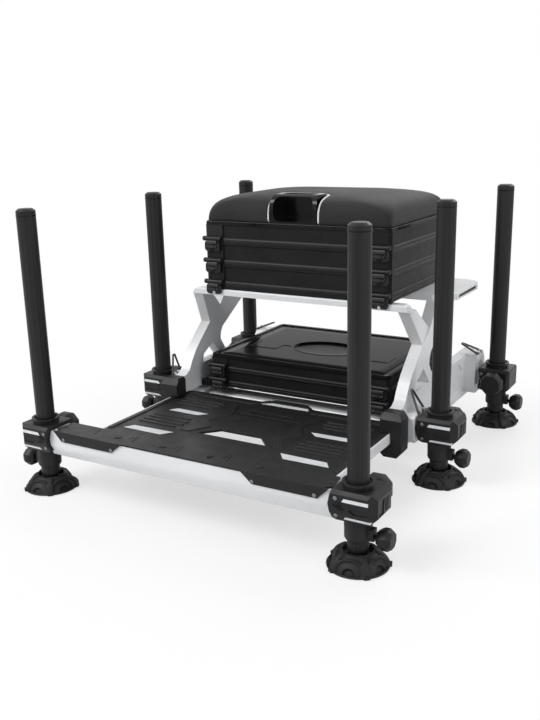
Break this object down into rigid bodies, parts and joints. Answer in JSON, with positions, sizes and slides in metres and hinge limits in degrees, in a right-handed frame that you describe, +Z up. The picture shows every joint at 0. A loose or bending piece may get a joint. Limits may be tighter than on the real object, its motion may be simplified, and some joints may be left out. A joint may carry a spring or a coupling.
{
  "type": "fishing seat box",
  "caption": "White cast frame on adjustable round legs with ball feet, a sliding slotted footplate, stacked hinged trays above and below, and a padded lid with a moulded grip.",
  "frame": {"origin": "on the floor under the middle of the outline", "axes": "+Y runs from the footplate towards the rear of the seat, +X towards the side nearer the camera, +Z up"},
  "size_m": [0.79, 0.866, 0.549],
  "materials": {
    "white_paint": "glossy white paint over cast aluminium",
    "black_plastic": "satin black moulding",
    "pale_inlay": "pale inlay",
    "black_padding": "matte black cover",
    "black_gloss": "glossy black",
    "tray_plastic": "satin black",
    "black_knob": "satin black",
    "black_tube": "black anodised",
    "foot_rubber": "matte rubber",
    "dark_wire": "blackened wire"
  },
  "bodies": {
    "frame": {"side_frame_left": "white_paint", "side_frame_right": "white_paint", "seat_platform": "white_paint", "cross_members": "white_paint", "slide_housings": "black_plastic", "clamp_inserts": "pale_inlay", "clamps_middle": "black_plastic", "clamps_rear": "black_plastic"},
    "footplate": {"footplate_frame": "white_paint", "beam_top_strip": "black_plastic", "footplate_panel": "black_plastic", "footplate_inserts": "pale_inlay", "clamps_front": "black_plastic"},
    "leg_fl": {"leg_tube_fl": "black_tube"},
    "stem_fl": {"foot_stem_fl": "black_tube"},
    "sole_fl": {"foot_fl": "foot_rubber"},
    "clamp_screw_fl": {"clamp_knob_fl": "black_knob"},
    "lock_screw_fl": {"lock_knob_fl": "black_knob"},
    "leg_fr": {"leg_tube_fr": "black_tube"},
    "stem_fr": {"foot_stem_fr": "black_tube"},
    "sole_fr": {"foot_fr": "foot_rubber"},
    "clamp_screw_fr": {"clamp_knob_fr": "black_knob"},
    "lock_screw_fr": {"lock_knob_fr": "black_knob"},
    "leg_ml": {"leg_tube_ml": "black_tube"},
    "stem_ml": {"foot_stem_ml": "black_tube"},
    "sole_ml": {"foot_ml": "foot_rubber"},
    "clamp_screw_ml": {"clamp_knob_ml": "black_knob"},
    "lock_screw_ml": {"lock_knob_ml": "black_knob"},
    "leg_mr": {"leg_tube_mr": "black_tube"},
    "stem_mr": {"foot_stem_mr": "black_tube"},
    "sole_mr": {"foot_mr": "foot_rubber"},
    "clamp_screw_mr": {"clamp_knob_mr": "black_knob"},
    "lock_screw_mr": {"lock_knob_mr": "black_knob"},
    "leg_rl": {"leg_tube_rl": "black_tube"},
    "stem_rl": {"foot_stem_rl": "black_tube"},
    "sole_rl": {"foot_rl": "foot_rubber"},
    "clamp_screw_rl": {"clamp_knob_rl": "black_knob"},
    "lock_screw_rl": {"lock_knob_rl": "black_knob"},
    "leg_rr": {"leg_tube_rr": "black_tube"},
    "stem_rr": {"foot_stem_rr": "black_tube"},
    "sole_rr": {"foot_rr": "foot_rubber"},
    "clamp_screw_rr": {"clamp_knob_rr": "black_knob"},
    "lock_screw_rr": {"lock_knob_rr": "black_knob"},
    "seat_unit_low": {"seat_tray_3": "tray_plastic"},
    "seat_unit_mid": {"seat_tray_2": "tray_plastic"},
    "seat_unit_top": {"seat_tray_1": "tray_plastic"},
    "seat_lid": {"cushion": "black_padding", "cushion_base": "black_plastic"},
    "seat_latch_1": {"seat_catches_1": "black_plastic"},
    "seat_latch_2": {"seat_catches_2": "black_plastic"},
    "seat_latch_3": {"seat_catches_3": "black_plastic"},
    "lower_unit_low": {"lower_tray_2": "tray_plastic"},
    "lower_unit_top": {"lower_tray_1": "tray_plastic"},
    "lower_cover": {"lower_lid": "black_gloss"},
    "lower_latch_1": {"lower_catches_1": "black_plastic"},
    "lower_latch_2": {"lower_catches_2": "black_plastic"},
    "loop_ml": {"strap_loop_ml": "dark_wire"},
    "loop_mr": {"strap_loop_mr": "dark_wire"},
    "loop_rl": {"strap_loop_rl": "dark_wire"},
    "loop_rr": {"strap_loop_rr": "dark_wire"}
  },
  "joints": [
    {"name": "footplate_slide", "type": "slide", "parent": "frame", "child": "footplate", "axis": [0, 1, 0], "range_m": [0, 0.24]},
    {"name": "leg_fl_height", "type": "slide", "parent": "footplate", "child": "leg_fl", "axis": [0, 0, 1], "range_m": [-0.35, 0]},
    {"name": "leg_fl_extension", "type": "slide", "parent": "leg_fl", "child": "stem_fl", "axis": [0, 0, 1], "range_m": [-0.25, 0]},
    {"name": "foot_fl_tilt", "type": "hinge", "parent": "stem_fl", "child": "sole_fl", "pos_m": [-0.335, -0.381, 0.016], "axis": [1, 0, 0], "range_deg": [-15, 15]},
    {"name": "clamp_knob_fl_turn", "type": "hinge", "parent": "footplate", "child": "clamp_screw_fl", "pos_m": [-0.341, -0.381, 0.11], "axis": [0, 1, 0], "range_deg": [0, 360]},
    {"name": "lock_knob_fl_turn", "type": "hinge", "parent": "leg_fl", "child": "lock_screw_fl", "pos_m": [-0.335, -0.381, 0.0555], "axis": [-1, 0, 0], "range_deg": [0, 360]},
    {"name": "leg_fr_height", "type": "slide", "parent": "footplate", "child": "leg_fr", "axis": [0, 0, 1], "range_m": [-0.35, 0]},
    {"name": "leg_fr_extension", "type": "slide", "parent": "leg_fr", "child": "stem_fr", "axis": [0, 0, 1], "range_m": [-0.25, 0]},
    {"name": "foot_fr_tilt", "type": "hinge", "parent": "stem_fr", "child": "sole_fr", "pos_m": [0.335, -0.381, 0.016], "axis": [1, 0, 0], "range_deg": [-15, 15]},
    {"name": "clamp_knob_fr_turn", "type": "hinge", "parent": "footplate", "child": "clamp_screw_fr", "pos_m": [0.341, -0.381, 0.11], "axis": [0, 1, 0], "range_deg": [0, 360]},
    {"name": "lock_knob_fr_turn", "type": "hinge", "parent": "leg_fr", "child": "lock_screw_fr", "pos_m": [0.335, -0.381, 0.0555], "axis": [1, 0, 0], "range_deg": [0, 360]},
    {"name": "leg_ml_height", "type": "slide", "parent": "frame", "child": "leg_ml", "axis": [0, 0, 1], "range_m": [-0.35, 0]},
    {"name": "leg_ml_extension", "type": "slide", "parent": "leg_ml", "child": "stem_ml", "axis": [0, 0, 1], "range_m": [-0.25, 0]},
    {"name": "foot_ml_tilt", "type": "hinge", "parent": "stem_ml", "child": "sole_ml", "pos_m": [-0.335, -0.004, 0.016], "axis": [1, 0, 0], "range_deg": [-15, 15]},
    {"name": "clamp_knob_ml_turn", "type": "hinge", "parent": "frame", "child": "clamp_screw_ml", "pos_m": [-0.341, -0.004, 0.11], "axis": [0, 1, 0], "range_deg": [0, 360]},
    {"name": "lock_knob_ml_turn", "type": "hinge", "parent": "leg_ml", "child": "lock_screw_ml", "pos_m": [-0.335, -0.004, 0.0555], "axis": [-1, 0, 0], "range_deg": [0, 360]},
    {"name": "leg_mr_height", "type": "slide", "parent": "frame", "child": "leg_mr", "axis": [0, 0, 1], "range_m": [-0.35, 0]},
    {"name": "leg_mr_extension", "type": "slide", "parent": "leg_mr", "child": "stem_mr", "axis": [0, 0, 1], "range_m": [-0.25, 0]},
    {"name": "foot_mr_tilt", "type": "hinge", "parent": "stem_mr", "child": "sole_mr", "pos_m": [0.335, -0.004, 0.016], "axis": [1, 0, 0], "range_deg": [-15, 15]},
    {"name": "clamp_knob_mr_turn", "type": "hinge", "parent": "frame", "child": "clamp_screw_mr", "pos_m": [0.341, -0.004, 0.11], "axis": [0, 1, 0], "range_deg": [0, 360]},
    {"name": "lock_knob_mr_turn", "type": "hinge", "parent": "leg_mr", "child": "lock_screw_mr", "pos_m": [0.335, -0.004, 0.0555], "axis": [1, 0, 0], "range_deg": [0, 360]},
    {"name": "leg_rl_height", "type": "slide", "parent": "frame", "child": "leg_rl", "axis": [0, 0, 1], "range_m": [-0.35, 0]},
    {"name": "leg_rl_extension", "type": "slide", "parent": "leg_rl", "child": "stem_rl", "axis": [0, 0, 1], "range_m": [-0.25, 0]},
    {"name": "foot_rl_tilt", "type": "hinge", "parent": "stem_rl", "child": "sole_rl", "pos_m": [-0.335, 0.381, 0.016], "axis": [1, 0, 0], "range_deg": [-15, 15]},
    {"name": "clamp_knob_rl_turn", "type": "hinge", "parent": "frame", "child": "clamp_screw_rl", "pos_m": [-0.341, 0.381, 0.11], "axis": [0, -1, 0], "range_deg": [0, 360]},
    {"name": "lock_knob_rl_turn", "type": "hinge", "parent": "leg_rl", "child": "lock_screw_rl", "pos_m": [-0.335, 0.381, 0.0555], "axis": [-1, 0, 0], "range_deg": [0, 360]},
    {"name": "leg_rr_height", "type": "slide", "parent": "frame", "child": "leg_rr", "axis": [0, 0, 1], "range_m": [-0.35, 0]},
    {"name": "leg_rr_extension", "type": "slide", "parent": "leg_rr", "child": "stem_rr", "axis": [0, 0, 1], "range_m": [-0.25, 0]},
    {"name": "foot_rr_tilt", "type": "hinge", "parent": "stem_rr", "child": "sole_rr", "pos_m": [0.335, 0.381, 0.016], "axis": [1, 0, 0], "range_deg": [-15, 15]},
    {"name": "clamp_knob_rr_turn", "type": "hinge", "parent": "frame", "child": "clamp_screw_rr", "pos_m": [0.341, 0.381, 0.11], "axis": [0, -1, 0], "range_deg": [0, 360]},
    {"name": "lock_knob_rr_turn", "type": "hinge", "parent": "leg_rr", "child": "lock_screw_rr", "pos_m": [0.335, 0.381, 0.0555], "axis": [1, 0, 0], "range_deg": [0, 360]},
    {"name": "seat_stack_lift", "type": "slide", "parent": "frame", "child": "seat_unit_low", "axis": [0, 0, 1], "range_m": [0, 0.05]},
    {"name": "seat_tray_2_hinge", "type": "hinge", "parent": "seat_unit_low", "child": "seat_unit_mid", "pos_m": [0, 0.3515, 0.38715], "axis": [-1, 0, 0], "range_deg": [0, 60]},
    {"name": "seat_tray_1_hinge", "type": "hinge", "parent": "seat_unit_mid", "child": "seat_unit_top", "pos_m": [0, 0.3515, 0.43415], "axis": [-1, 0, 0], "range_deg": [0, 60]},
    {"name": "seat_lid_hinge", "type": "hinge", "parent": "seat_unit_top", "child": "seat_lid", "pos_m": [0, 0.3515, 0.48115], "axis": [-1, 0, 0], "range_deg": [0, 90]},
    {"name": "seat_catches_1_swing", "type": "hinge", "parent": "seat_unit_top", "child": "seat_latch_1", "pos_m": [0, 0.0152, 0.4513], "axis": [-1, 0, 0], "range_deg": [0, 70]},
    {"name": "seat_catches_2_swing", "type": "hinge", "parent": "seat_unit_mid", "child": "seat_latch_2", "pos_m": [0, 0.0152, 0.4043], "axis": [-1, 0, 0], "range_deg": [0, 70]},
    {"name": "seat_catches_3_swing", "type": "hinge", "parent": "seat_unit_low", "child": "seat_latch_3", "pos_m": [0, 0.0152, 0.3573], "axis": [-1, 0, 0], "range_deg": [0, 70]},
    {"name": "lower_trays_slide", "type": "slide", "parent": "frame", "child": "lower_unit_low", "axis": [0, 1, 0], "range_m": [-0.3, 0]},
    {"name": "lower_tray_1_hinge", "type": "hinge", "parent": "lower_unit_low", "child": "lower_unit_top", "pos_m": [0, 0.3515, 0.14935], "axis": [1, 0, 0], "range_deg": [-18, 0]},
    {"name": "lower_lid_hinge", "type": "hinge", "parent": "lower_unit_top", "child": "lower_cover", "pos_m": [0, 0.3515, 0.18235], "axis": [1, 0, 0], "range_deg": [-20, 0]},
    {"name": "lower_catches_1_swing", "type": "hinge", "parent": "lower_unit_top", "child": "lower_latch_1", "pos_m": [0, 0.0152, 0.1665], "axis": [-1, 0, 0], "range_deg": [0, 70]},
    {"name": "lower_catches_2_swing", "type": "hinge", "parent": "lower_unit_low", "child": "lower_latch_2", "pos_m": [0, 0.0152, 0.1335], "axis": [-1, 0, 0], "range_deg": [0, 70]},
    {"name": "strap_loop_ml_swing", "type": "hinge", "parent": "frame", "child": "loop_ml", "pos_m": [-0.296, -0.004, 0.1395], "axis": [0, 1, 0], "range_deg": [0, 30]},
    {"name": "strap_loop_mr_swing", "type": "hinge", "parent": "frame", "child": "loop_mr", "pos_m": [0.296, -0.004, 0.1395], "axis": [0, 1, 0], "range_deg": [0, 47]},
    {"name": "strap_loop_rl_swing", "type": "hinge", "parent": "frame", "child": "loop_rl", "pos_m": [-0.296, 0.369, 0.1675], "axis": [0, -1, 0], "range_deg": [0, 60]},
    {"name": "strap_loop_rr_swing", "type": "hinge", "parent": "frame", "child": "loop_rr", "pos_m": [0.296, 0.369, 0.1675], "axis": [0, 1, 0], "range_deg": [0, 60]}
  ]
}
